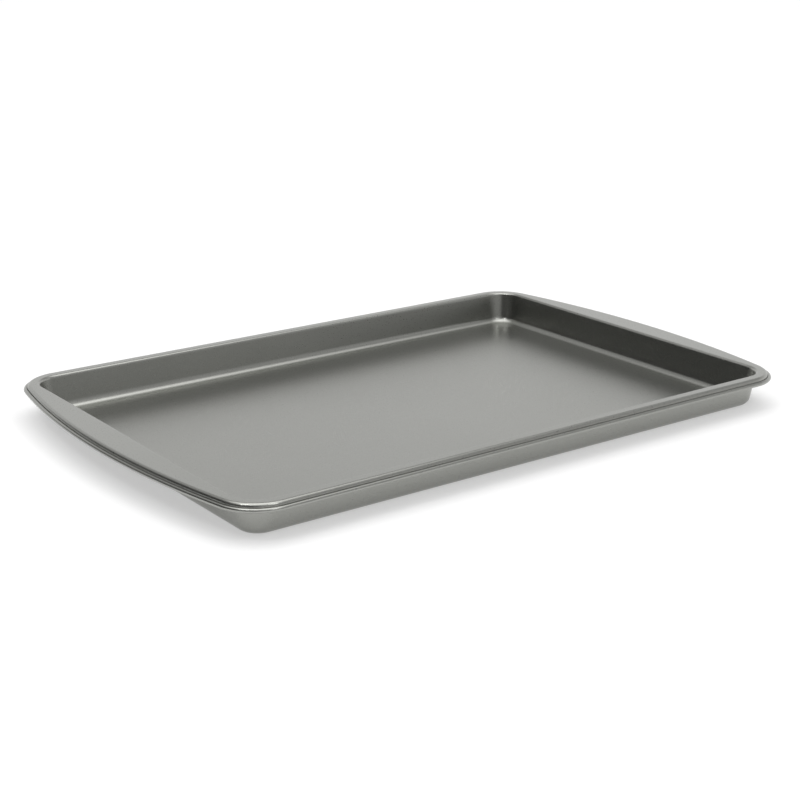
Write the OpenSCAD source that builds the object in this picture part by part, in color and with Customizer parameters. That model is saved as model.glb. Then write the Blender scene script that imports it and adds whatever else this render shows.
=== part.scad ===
// Jelly roll pan: one sheet of steel drawn into a shallow tray, with a flange that widens into a bowed
// handle at each end. The flange turns down into a short skirt, and the skirt's edge is rolled outward
// round a steel wire. The origin is at the middle of the underside, X runs from handle to handle, +Z is up.

/* [Overall] */
// Length over the rolled edge of both handles
pan_l = 430.4; // [424:0.2:440]
// Width over the rolled edge of the long sides
pan_w = 279.2; // [277:0.2:286]
// Height from the surface that it stands on to the top of the rim
pan_h = 22; // [16:0.5:30]
// Thickness of the sheet
sheet = 0.5; // [0.4:0.1:0.7]

/* [Tray] */
// Length of the opening at rim level
opening_l = 387; // [372:0.5:390]
// Width of the opening at rim level
opening_w = 259; // [240:0.5:261]
// Corner radius of the opening at rim level
opening_r = 16; // [14:0.5:20]
// Lean of the walls from upright, in degrees
draft = 10; // [4:0.5:14]
// Inside radius between the walls and the floor
floor_r = 5.2; // [3:0.1:7]
// Radius of the shoulder over which the wall turns into the flange
shoulder_r = 2; // [1.5:0.1:2.5]

/* [Rim] */
// Cotangent of the angle that half of a handle's bowed edge spans: a larger one makes the bow flatter
bow_cot = 4.95; // [4.5:0.05:6]
// Radius that blends a handle's bow into the long side
corner_r = 25.5; // [24:0.5:28]
// Radius over which the flange turns down into the skirt
edge_r = 2.2; // [1.6:0.1:2.6]
// Depth of the wire's centre below the top of the rim
wire_drop = 3.4; // [3.2:0.1:5]
// Diameter of the rim wire
wire_d = 1.6; // [1.4:0.1:2]
// Gap between the two ends of the rim wire, at the middle of a long side
wire_gap = 1.5; // [0.5:0.1:5]
// Opening left between the end of the curl and the skirt, as an angle about the wire
curl_mouth = 58; // [58:1:90]

/* [Hidden] */
$fn = 256;

wire_r = wire_d / 2;
// Space between the wire and the curl
wire_slack = 0.01;
curl_in_r = wire_r + wire_slack;
curl_out_r = curl_in_r + sheet;
wire_centre = [curl_in_r, -wire_drop];
// The skirt's outer face lies this far inside the rolled edge
skirt_x = pan_l / 2 - wire_centre.x - curl_out_r;
skirt_y = pan_w / 2 - wire_centre.x - curl_out_r;

// Outline of the skirt: a straight long side, a corner arc and the handle's large arc, each tangent to
// the next. The line through the centres of two arcs crosses the outline where they meet
corner_y = skirt_y - corner_r;
handle_r = corner_r + corner_y * sqrt(1 + bow_cot * bow_cot);
bow_x = skirt_x - handle_r;
corner_x = bow_x + bow_cot * corner_y;
beyond = [bow_x + 1.25 * bow_cot * corner_y, 1.25 * corner_y];

// Section of the tray's wall, measured outward from the opening's edge and upward from the rim's top
shoulder = [shoulder_r * tan(45 - draft / 2), -shoulder_r];
heel_y = sheet + floor_r - pan_h;
heel = [(heel_y * sin(draft) - floor_r) / cos(draft), heel_y];

// Flat strip at the edge of a section, where it lies within the floor or the flange
lap = 0.6;
// Where the edges of the floor and the flange lie within those strips
floor_edge = ceil(heel.x * 10) / 10 - 0.2;
hole_edge = ceil(shoulder.x * 10) / 10 + 0.2;
flange_inset = edge_r + 0.3;

// Points along an arc
function arc(centre, radius, from, to, steps) =
    [for (i = [0:steps]) let (a = from + (to - from) * i / steps) centre + radius * [cos(a), sin(a)]];

// Wall of even thickness: from the flange, over the shoulder, down the lean and round to the floor
module wall_section() polygon(concat(
    [[shoulder.x + lap, 0]],
    arc(shoulder, shoulder_r, 90, 180 - draft, 8),
    arc(heel, floor_r, 360 - draft, 270, 10),
    [[heel.x - lap, heel.y - floor_r], [heel.x - lap, -pan_h]],
    arc(heel, floor_r + sheet, 270, 360 - draft, 10),
    arc(shoulder, shoulder_r - sheet, 180 - draft, 90, 8),
    [[shoulder.x + lap, -sheet]]
));

// Edge of the flange, measured outward from the skirt's outer face and upward from the rim's top: a
// quarter turn down, the skirt, and the curl that runs under the wire, up its outside and back over it
module edge_section() {
    curl_end = 540 - curl_mouth;
    polygon(concat(
        [[-edge_r - lap, 0]],
        arc([-edge_r, -edge_r], edge_r, 90, 0, 8),
        arc(wire_centre, curl_in_r, 180, curl_end, 24),
        arc(wire_centre, curl_out_r, curl_end, 180, 24),
        arc([-edge_r, -edge_r], edge_r - sheet, 0, 90, 8),
        [[-edge_r - lap, -sheet]]
    ));
}

// Round of the wire
module wire_section() polygon(arc(wire_centre, wire_r, 0, 345, 23));

// Carries a section along one straight side, at the distance reach from the middle
module straight(length, reach) translate([-length / 2, reach]) rotate([90, 0, 90]) linear_extrude(length)
    children();

// Carries a section through a quarter turn about a centre, starting at the angle from
module quarter_turn(centre, from, radius) translate(centre) rotate(from) rotate_extrude(angle = 90)
    translate([radius, 0]) children();

// Carries a section round the opening
module round_opening() {
    flat_x = opening_l / 2 - opening_r;
    flat_y = opening_w / 2 - opening_r;
    translate([0, 0, pan_h]) for (side = [0, 180]) rotate(side) {
        straight(2 * flat_x, opening_w / 2) children();
        rotate(90) straight(2 * flat_y, opening_l / 2) children();
        quarter_turn([flat_x, flat_y], 0, opening_r) children();
        quarter_turn([-flat_x, flat_y], 90, opening_r) children();
    }
}

// Plan of what one arc of the outline covers, from its centre outward
module bow_wedge() polygon([[bow_x, 0], [beyond.x, -beyond.y], beyond]);
module corner_wedge(side) polygon([[side * corner_x, corner_y], [side * beyond.x, beyond.y],
    [side * beyond.x, 2 * skirt_y], [side * corner_x, 2 * skirt_y]]);

// Carries a section round the skirt's outline
module round_outline() translate([0, 0, pan_h]) for (side = [0, 180]) rotate(side) {
    straight(2 * corner_x, skirt_y) children();
    intersection() {
        translate([bow_x, 0]) rotate(-90) rotate_extrude(angle = 180) translate([handle_r, 0]) children();
        translate([0, 0, -pan_h]) linear_extrude(2 * pan_h) bow_wedge();
    }
    intersection() {
        quarter_turn([corner_x, corner_y], 0, corner_r) children();
        translate([0, 0, -pan_h]) linear_extrude(2 * pan_h) corner_wedge(1);
    }
    intersection() {
        quarter_turn([-corner_x, corner_y], 90, corner_r) children();
        translate([0, 0, -pan_h]) linear_extrude(2 * pan_h) corner_wedge(-1);
    }
}

// Area inside the outline, less a margin
module outline_area(margin) {
    square([2 * corner_x, 2 * (skirt_y - margin)], center = true);
    for (side = [0, 180]) rotate(side) {
        intersection() {
            translate([bow_x, 0]) circle(r = handle_r - margin);
            bow_wedge();
            translate([0, -skirt_y]) square([2 * skirt_x, 2 * skirt_y]);
        }
        for (end = [1, -1]) intersection() {
            translate([end * corner_x, corner_y]) circle(r = corner_r - margin);
            corner_wedge(end);
        }
    }
}

// Area inside the opening's edge, grown outward
module opening_area(grow) {
    half_l = opening_l / 2 + grow;
    half_w = opening_w / 2 + grow;
    radius = opening_r + grow;
    square([2 * half_l, 2 * (half_w - radius)], center = true);
    square([2 * (half_l - radius), 2 * half_w], center = true);
    for (x = [1, -1], y = [1, -1]) intersection() {
        translate([x * (half_l - radius), y * (half_w - radius)]) circle(r = radius);
        translate([x * (half_l - radius / 2), y * (half_w - radius / 2)]) square(radius, center = true);
    }
}

// Flange all round, and the two handles that it widens into
module flange() translate([0, 0, pan_h - sheet]) linear_extrude(sheet) difference() {
    outline_area(flange_inset);
    opening_area(hole_edge);
}

module tray_floor() linear_extrude(sheet) opening_area(floor_edge);

// Coated steel sheet: floor, walls, flange with its handles, skirt and curl in one piece
module pan_shell() color([0.61, 0.61, 0.59]) union() {
    tray_floor();
    round_opening() wall_section();
    flange();
    round_outline() edge_section();
}

// Bare steel wire, bent to the outline and held in the curl, with its two ends nearly meeting
module rim_wire() color([0.74, 0.75, 0.76]) difference() {
    round_outline() wire_section();
    translate([-wire_gap / 2, skirt_y - wire_d, pan_h - wire_drop - wire_d])
        cube([wire_gap, 4 * wire_d, 2 * wire_d]);
}

pan_shell();
rim_wire();
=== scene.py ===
import math

import bpy
import numpy as np
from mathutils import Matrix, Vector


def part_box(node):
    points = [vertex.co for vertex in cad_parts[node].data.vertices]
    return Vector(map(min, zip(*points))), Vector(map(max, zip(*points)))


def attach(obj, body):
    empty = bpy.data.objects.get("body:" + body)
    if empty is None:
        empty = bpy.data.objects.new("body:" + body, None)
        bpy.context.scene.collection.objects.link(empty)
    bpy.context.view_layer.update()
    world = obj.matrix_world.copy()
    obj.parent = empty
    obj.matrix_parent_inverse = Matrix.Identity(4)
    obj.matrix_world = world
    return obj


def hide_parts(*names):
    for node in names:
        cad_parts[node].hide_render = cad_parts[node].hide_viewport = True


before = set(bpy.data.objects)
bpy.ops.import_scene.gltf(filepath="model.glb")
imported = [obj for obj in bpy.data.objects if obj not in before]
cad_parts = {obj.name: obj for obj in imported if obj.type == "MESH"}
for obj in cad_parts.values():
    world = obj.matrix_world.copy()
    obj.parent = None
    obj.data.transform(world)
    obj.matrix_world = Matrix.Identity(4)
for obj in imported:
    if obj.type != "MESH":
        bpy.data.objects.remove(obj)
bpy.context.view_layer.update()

shellLow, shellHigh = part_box("pan_shell")
print("frame loaded, pan box in metres:", [round(high - low, 4) for low, high in zip(shellLow, shellHigh)])

# everything is in metres, with the origin at the middle of the underside
panShape = {
    "length": shellHigh[0] - shellLow[0],
    "width": shellHigh[1] - shellLow[1],
    "height": shellHigh[2] - shellLow[2],
    "sheet": 0.0005,
    "openingLength": 0.387,
    "openingWidth": 0.259,
    "openingRadius": 0.016,
    "draft": 10,              # lean of the walls, in degrees
    "floorRadius": 0.0052,
    "shoulderRadius": 0.002,
    "bowCot": 4.95,           # a larger one makes the handles' bow flatter
    "cornerRadius": 0.0255,
    "edgeRadius": 0.0022,
    "wireDrop": 0.0034,
    "curlInside": 0.00081,    # inside radius of the curl
    "curlMouth": 58,          # gap between curl and skirt, in degrees about the wire
    "longSteps": 60,
    "shortSteps": 48,
    "cornerSteps": 28,
    "bendSteps": 12,          # of each bend's upper face
    "underSteps": 8,
    "curlInSteps": 20,
    "curlOutSteps": 36,
}


def arcPoints(centre, radius, start, end, steps):
    # a point is the centre plus the radius times the cosine and sine of an angle that runs evenly
    angles = np.radians(np.linspace(start, end, steps + 1))
    return np.array(centre) + radius * np.stack([np.cos(angles), np.sin(angles)], axis=1)


def turn(centre, radius, angles):
    # edge points of an arc and their outward normals, for angles in radians
    normal = np.stack([np.cos(angles), np.sin(angles)], axis=1)
    return np.array(centre) + radius * normal, normal


def stations(shape):
    # Pairs of points round the pan, one on the opening's edge and one on the skirt's outline, with the
    # outward normal at each: a long side, a corner, a handle and a corner, then the same turned by half
    # a turn. Along a straight the point moves evenly, and on an arc its angle does
    halfL = shape["openingLength"] / 2
    halfW = shape["openingWidth"] / 2
    flatX = halfL - shape["openingRadius"]
    flatY = halfW - shape["openingRadius"]
    curlOut = shape["curlInside"] + shape["sheet"]
    skirtX = shape["length"] / 2 - shape["curlInside"] - curlOut
    skirtY = shape["width"] / 2 - shape["curlInside"] - curlOut
    cornerY = skirtY - shape["cornerRadius"]
    handleRadius = shape["cornerRadius"] + cornerY * math.hypot(1, shape["bowCot"])
    bowX = skirtX - handleRadius
    cornerX = bowX + shape["bowCot"] * cornerY
    bowAngle = math.atan(1 / shape["bowCot"])
    quarter = math.pi / 2

    along = np.linspace(-1, 1, shape["longSteps"], endpoint=False)
    across = np.linspace(1, -1, shape["shortSteps"], endpoint=False)
    part = np.linspace(0, 1, shape["cornerSteps"], endpoint=False)
    up = np.tile([0.0, 1.0], (len(along), 1))
    right = np.tile([1.0, 0.0], (len(across), 1))
    opening = [
        (np.stack([along * flatX, np.full_like(along, halfW)], axis=1), up),
        turn((flatX, flatY), shape["openingRadius"], quarter * (1 - part)),
        (np.stack([np.full_like(across, halfL), across * flatY], axis=1), right),
        turn((flatX, -flatY), shape["openingRadius"], -quarter * part),
    ]
    outline = [
        (np.stack([along * cornerX, np.full_like(along, skirtY)], axis=1), up),
        turn((cornerX, cornerY), shape["cornerRadius"], quarter + (bowAngle - quarter) * part),
        turn((bowX, 0.0), handleRadius, across * bowAngle),
        turn((cornerX, -cornerY), shape["cornerRadius"], -bowAngle + (bowAngle - quarter) * part),
    ]
    half = [np.concatenate([piece[n] for piece in side]) for side in (opening, outline) for n in (0, 1)]
    return [np.concatenate([points, -points]) for points in half]


def band(*columns):
    # one row for each ring of points: the offsets from the opening's edge and from the outline, how far
    # the ring lies from the first towards the second, its height, and its scale about the middle
    return np.stack(np.broadcast_arrays(*[np.atleast_1d(column) for column in columns]), axis=1)


def profileRows(shape):
    # The section of the sheet as one closed walk: out over the floor, up the wall, across the flange, down
    # the skirt and round inside the curl, then back along the other face to the middle of the underside
    sheet, height, draft = shape["sheet"], shape["height"], shape["draft"]
    shoulderR, floorR, edgeR = shape["shoulderRadius"], shape["floorRadius"], shape["edgeRadius"]
    lean = math.radians(draft)
    shoulder = (shoulderR * math.tan(math.radians(45) - lean / 2), -shoulderR)
    heelY = sheet + floorR - height
    heel = ((heelY * math.sin(lean) - floorR) / math.cos(lean), heelY)
    curl = (shape["curlInside"], -shape["wireDrop"])
    curlEnd = 540 - shape["curlMouth"]
    floorScale = np.concatenate([np.linspace(0.08, 0.92, 12), [0.985, 0.997]])
    flangeMix = np.array([0.02, 0.12, 0.3, 0.5, 0.7, 0.88, 0.98])
    wallPart = np.array([0.03, 0.2, 0.4, 0.6, 0.8, 0.97])[:, None]
    skirtPart = np.array([0.1, 0.5, 0.9])

    def wallBetween(low, high):
        return low + (high - low) * wallPart

    def openingBand(points):
        return band(points[:, 0], 0.0, 0.0, height + points[:, 1], 1.0)

    def outlineBand(points):
        return band(0.0, points[:, 0], 1.0, height + points[:, 1], 1.0)

    bend, under = shape["bendSteps"], shape["underSteps"]
    heelTop = arcPoints(heel, floorR, 270, 360 - draft, bend)
    shoulderTop = arcPoints(shoulder, shoulderR, 180 - draft, 90, bend)
    edgeTop = arcPoints((-edgeR, -edgeR), edgeR, 90, 0, bend)
    curlIn = arcPoints(curl, shape["curlInside"], 180, curlEnd, shape["curlInSteps"])
    curlOut = arcPoints(curl, shape["curlInside"] + sheet, curlEnd, 180, shape["curlOutSteps"])
    edgeUnder = arcPoints((-edgeR, -edgeR), edgeR - sheet, 0, 90, under)
    shoulderUnder = arcPoints(shoulder, shoulderR - sheet, 90, 180 - draft, under)
    heelUnder = arcPoints(heel, floorR + sheet, 360 - draft, 270, bend)
    skirtLevel = height - edgeR - (shape["wireDrop"] - edgeR) * skirtPart
    return np.concatenate([
        band(heel[0], 0.0, 0.0, sheet, floorScale),
        openingBand(heelTop),
        openingBand(wallBetween(heelTop[-1], shoulderTop[0])),
        openingBand(shoulderTop),
        band(shoulder[0], -edgeR, flangeMix, height, 1.0),
        outlineBand(edgeTop),
        band(0.0, 0.0, 1.0, skirtLevel, 1.0),
        outlineBand(curlIn),
        outlineBand(curlOut),
        band(0.0, -sheet, 1.0, skirtLevel[::-1], 1.0),
        outlineBand(edgeUnder),
        band(shoulder[0], -edgeR, flangeMix[::-1], height - sheet, 1.0),
        openingBand(shoulderUnder),
        openingBand(wallBetween(heelUnder[0], shoulderUnder[-1])[::-1]),
        openingBand(heelUnder),
        band(heel[0], 0.0, 0.0, 0.0, floorScale[::-1]),
    ])


def meshFrom(name, points, faces, smooth=True):
    mesh = bpy.data.meshes.new(name)
    mesh.from_pydata(points.tolist(), [], faces)
    mesh.polygons.foreach_set("use_smooth", np.full(len(mesh.polygons), smooth))
    mesh.update()
    piece = bpy.data.objects.new(name, mesh)
    bpy.context.scene.collection.objects.link(piece)
    return piece


def makePan(shape):
    # ring point = scale * (opening point * (1 - mix) + outline point * mix), each moved out along its normal
    openEdge, openNormal, rimEdge, rimNormal = stations(shape)
    openOffset, rimOffset, mix, level, scale = [column[:, None, None] for column in profileRows(shape).T]
    fromOpening = openEdge + openOffset * openNormal
    fromOutline = rimEdge + rimOffset * rimNormal
    plan = scale * ((1 - mix) * fromOpening + mix * fromOutline)
    rings = np.concatenate([plan, np.broadcast_to(level, plan.shape[:2] + (1,))], axis=2)
    rows, count = plan.shape[:2]
    here = 1 + np.arange(rows * count).reshape(rows, count)
    after = np.roll(here, -1, axis=1)
    underPole = rows * count + 1
    points = np.concatenate([[[0, 0, shape["sheet"]]], rings.reshape(-1, 3), [[0, 0, 0]]])
    quads = np.stack([here[:-1], after[:-1], after[1:], here[1:]], axis=-1).reshape(-1, 4)
    topFan = np.stack([np.zeros(count, int), after[0], here[0]], axis=-1)
    underFan = np.stack([here[-1], after[-1], np.full(count, underPole)], axis=-1)
    print("pan mesh:", rows, "rings of", count, "points")
    return meshFrom("coated_pan", points, quads.tolist() + topFan.tolist() + underFan.tolist())


coatingLook = {
    "shade": (0.315, 0.318, 0.298, 1),
    "light": (0.339, 0.342, 0.322, 1),
    "shadeScale": 9,           # patches per metre
    "shadeDetail": 3.0,
    "roughLow": 0.25,
    "roughHigh": 0.32,
    "grainScale": 1400,        # grains per metre
    "grainHeight": 0.00003,
    "peelScale": 150,          # soft ripple of the sprayed coat
    "peelHeight": 0.00003,
    "waveScale": 12,           # slow unevenness of the pressed sheet
    "waveHeight": 0.0003,
    "waveDetail": 1.0,
}

wireLook = {
    "shade": (0.50, 0.51, 0.52, 1),
    "light": (0.60, 0.61, 0.62, 1),
    "roughness": 0.35,
    "drawScale": 700,
    "drawHeight": 0.00001,
}


class Nodes:
    # short calls for placing and joining shader nodes
    def __init__(self, tree):
        self.tree = tree
        tree.nodes.clear()

    def add(self, kind, **inputs):
        node = self.tree.nodes.new(kind)
        for name, value in inputs.items():
            node.inputs[name.replace("_", " ")].default_value = value
        return node

    def join(self, output, target):
        self.tree.links.new(output, target)


def newMaterial(name):
    material = bpy.data.materials.new(name)
    material.use_nodes = True
    return material, Nodes(material.node_tree)


def noiseOn(nodes, coords, scale, detail=2.0):
    noise = nodes.add("ShaderNodeTexNoise", Scale=scale, Detail=detail)
    nodes.join(coords.outputs["Object"], noise.inputs["Vector"])
    return noise.outputs["Fac"]


def twoTone(nodes, factor, shade, light):
    blend = nodes.tree.nodes.new("ShaderNodeMix")
    blend.data_type = "RGBA"
    colours = [socket for socket in blend.inputs if socket.type == "RGBA"]
    colours[0].default_value = shade
    colours[1].default_value = light
    nodes.join(factor, blend.inputs[0])
    return [socket for socket in blend.outputs if socket.type == "RGBA"][0]


def bumpOf(nodes, height, distance, before=None):
    bump = nodes.add("ShaderNodeBump", Strength=1.0, Distance=distance)
    nodes.join(height, bump.inputs["Height"])
    if before is not None:
        nodes.join(before, bump.inputs["Normal"])
    return bump.outputs["Normal"]


def coatingMaterial(look):
    # sprayed metallic non-stick: fine grain over a soft ripple, over the slow unevenness of pressed steel
    material, nodes = newMaterial("satinCoating")
    coords = nodes.add("ShaderNodeTexCoord")
    surface = nodes.add("ShaderNodeBsdfPrincipled", Metallic=1.0)
    output = nodes.add("ShaderNodeOutputMaterial")
    patches = noiseOn(nodes, coords, look["shadeScale"], look["shadeDetail"])
    nodes.join(twoTone(nodes, patches, look["shade"], look["light"]), surface.inputs["Base Color"])
    grain = noiseOn(nodes, coords, look["grainScale"])
    rough = nodes.add("ShaderNodeMapRange", To_Min=look["roughLow"], To_Max=look["roughHigh"])
    nodes.join(grain, rough.inputs["Value"])
    nodes.join(rough.outputs["Result"], surface.inputs["Roughness"])
    wave = bumpOf(nodes, noiseOn(nodes, coords, look["waveScale"], look["waveDetail"]), look["waveHeight"])
    peel = bumpOf(nodes, noiseOn(nodes, coords, look["peelScale"]), look["peelHeight"], wave)
    nodes.join(bumpOf(nodes, grain, look["grainHeight"], peel), surface.inputs["Normal"])
    nodes.join(surface.outputs["BSDF"], output.inputs["Surface"])
    return material


def wireMaterial(look):
    # bare drawn wire, faintly scored
    material, nodes = newMaterial("drawnWire")
    coords = nodes.add("ShaderNodeTexCoord")
    surface = nodes.add("ShaderNodeBsdfPrincipled", Metallic=1.0, Roughness=look["roughness"])
    output = nodes.add("ShaderNodeOutputMaterial")
    score = noiseOn(nodes, coords, look["drawScale"])
    nodes.join(twoTone(nodes, score, look["shade"], look["light"]), surface.inputs["Base Color"])
    nodes.join(bumpOf(nodes, score, look["drawHeight"]), surface.inputs["Normal"])
    nodes.join(surface.outputs["BSDF"], output.inputs["Surface"])
    return material


def dressWire(wire, material):
    if not wire.material_slots:
        wire.data.materials.append(material)
    for slot in wire.material_slots:
        slot.material = material


pan = makePan(panShape)
pan.data.materials.append(coatingMaterial(coatingLook))
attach(pan, "root")
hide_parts("pan_shell")
dressWire(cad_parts["rim_wire"], wireMaterial(wireLook))
print("pan and wire dressed")

studioLook = {
    "floorRadius": 4.0,
    "floorSides": 120,
    "floorDrop": 0.0002,       # keeps the floor just under the pan's own underside
    "floorColour": (0.95, 0.95, 0.95, 1),
    "floorGlow": 0.4,          # share of plain white that the floor shows to the eye and to reflections
    "sky": [                   # sine of the elevation, brightness
        (0.0, 1.0),
        (0.40, 1.0),
        (0.58, 0.45),
        (0.76, 0.45),
        (0.90, 2.0),
    ],
    "topLamp": {"place": (0.0, 0.0, 1.1), "size": (0.9, 0.6), "watts": 0.9},
    "spots": [
        {"place": (-0.75, -0.24, 0.95), "size": (0.16, 0.16), "watts": 1.1},
        {"place": (0.03, -0.87, 0.95), "size": (0.16, 0.16), "watts": 1.1},
    ],
    # upright cards beside and behind the camera, which only the metal sees: two ends, height, brightness
    "cards": [
        {"start": (-0.95, -1.35), "end": (-0.95, 2.4), "height": 1.0, "level": 0.06},
        {"start": (-0.95, -1.35), "end": (1.7, -1.35), "height": 1.0, "level": 0.52},
    ],
}


def makeFloor(look):
    # a flat disc: a point is the radius times the cosine and sine of an even angle
    ring = arcPoints((0.0, 0.0), look["floorRadius"], 0, 360, look["floorSides"])[:-1]
    points = np.column_stack([ring, np.full(len(ring), -look["floorDrop"])])
    floor = meshFrom("studio_floor", points, [list(range(len(ring)))], smooth=False)
    material, nodes = newMaterial("paleFloor")
    rays = nodes.add("ShaderNodeLightPath")
    matt = nodes.add("ShaderNodeBsdfDiffuse", Color=look["floorColour"])
    white = nodes.add("ShaderNodeEmission", Strength=1.0)
    seen = rays.outputs["Is Camera Ray"]
    for name in ("Is Glossy Ray", "Is Transmission Ray"):
        either = nodes.add("ShaderNodeMath")
        either.operation = "MAXIMUM"
        nodes.join(seen, either.inputs[0])
        nodes.join(rays.outputs[name], either.inputs[1])
        seen = either.outputs[0]
    share = nodes.add("ShaderNodeMath")
    share.operation = "MULTIPLY"
    share.inputs[1].default_value = look["floorGlow"]
    nodes.join(seen, share.inputs[0])
    blend = nodes.add("ShaderNodeMixShader")
    output = nodes.add("ShaderNodeOutputMaterial")
    nodes.join(share.outputs[0], blend.inputs[0])
    nodes.join(matt.outputs[0], blend.inputs[1])
    nodes.join(white.outputs[0], blend.inputs[2])
    nodes.join(blend.outputs[0], output.inputs["Surface"])
    floor.data.materials.append(material)


def makeSky(look):
    # a white tent with a greyer band half way up, by the sine of the elevation
    world = bpy.data.worlds.new("studioTent")
    world.use_nodes = True
    nodes = Nodes(world.node_tree)
    coords = nodes.add("ShaderNodeTexCoord")
    split = nodes.add("ShaderNodeSeparateXYZ")
    ramp = nodes.add("ShaderNodeValToRGB")
    tent = nodes.add("ShaderNodeBackground", Strength=1.0)
    output = nodes.add("ShaderNodeOutputWorld")
    stops = ramp.color_ramp.elements
    stops.remove(stops[1])
    for n, (place, level) in enumerate(look["sky"]):
        stop = stops[0] if n == 0 else stops.new(place)
        stop.position = place
        stop.color = (level, level, level, 1)
    nodes.join(coords.outputs["Generated"], split.inputs[0])
    nodes.join(split.outputs["Z"], ramp.inputs["Fac"])
    nodes.join(ramp.outputs["Color"], tent.inputs["Color"])
    nodes.join(tent.outputs[0], output.inputs["Surface"])
    bpy.context.scene.world = world


def makeLamp(name, settings):
    lamp = bpy.data.lights.new(name, "AREA")
    lamp.shape = "RECTANGLE"
    lamp.size, lamp.size_y = settings["size"]
    lamp.energy = settings["watts"]
    holder = bpy.data.objects.new(name, lamp)
    holder.location = settings["place"]
    # a lamp shines along its own -Z, which is turned towards the pan
    holder.rotation_euler = (-holder.location).to_track_quat("-Z", "Y").to_euler()
    bpy.context.scene.collection.objects.link(holder)


def makeCard(name, settings):
    # a flat upright sheet between two points of the floor
    ends = np.array([settings["start"], settings["end"]])
    foot = np.column_stack([ends, np.zeros(2)])
    top = np.column_stack([ends, np.full(2, settings["height"])])
    card = meshFrom(name, np.concatenate([foot, top[::-1]]), [[0, 1, 2, 3]], smooth=False)
    material, nodes = newMaterial(name + "Paper")
    level = settings["level"]
    paper = nodes.add("ShaderNodeEmission", Color=(level, level, level, 1), Strength=1.0)
    output = nodes.add("ShaderNodeOutputMaterial")
    nodes.join(paper.outputs[0], output.inputs["Surface"])
    card.data.materials.append(material)
    card.visible_camera = False
    card.visible_diffuse = False
    card.visible_shadow = False


makeFloor(studioLook)
makeSky(studioLook)
makeLamp("top_lamp", studioLook["topLamp"])
for number, spot in enumerate(studioLook["spots"]):
    makeLamp(f"spot_{number}", spot)
for number, card in enumerate(studioLook["cards"]):
    makeCard(f"card_{number}", card)
print("studio lit")

cameraLook = {
    "place": (-0.5815, -0.7801, 0.3218),
    "heading": 36.04,          # from +Y towards +X, in degrees
    "pitch": 18.0,             # below the horizon, in degrees
    "lens": 72.39,             # in millimetres, on a sensor of this width
    "sensor": 36,
    "shiftX": 0.0197,
    "nearest": 0.01,
}


def makeCamera(look):
    lens = bpy.data.cameras.new("photo_camera")
    lens.lens = look["lens"]
    lens.sensor_width = look["sensor"]
    lens.shift_x = look["shiftX"]
    lens.clip_start = look["nearest"]
    camera = bpy.data.objects.new("photo_camera", lens)
    camera.location = look["place"]
    camera.rotation_euler = (math.radians(90 - look["pitch"]), 0, -math.radians(look["heading"]))
    bpy.context.scene.collection.objects.link(camera)
    bpy.context.scene.camera = camera


makeCamera(cameraLook)
bpy.context.scene.view_settings.view_transform = "Standard"
print("camera placed")
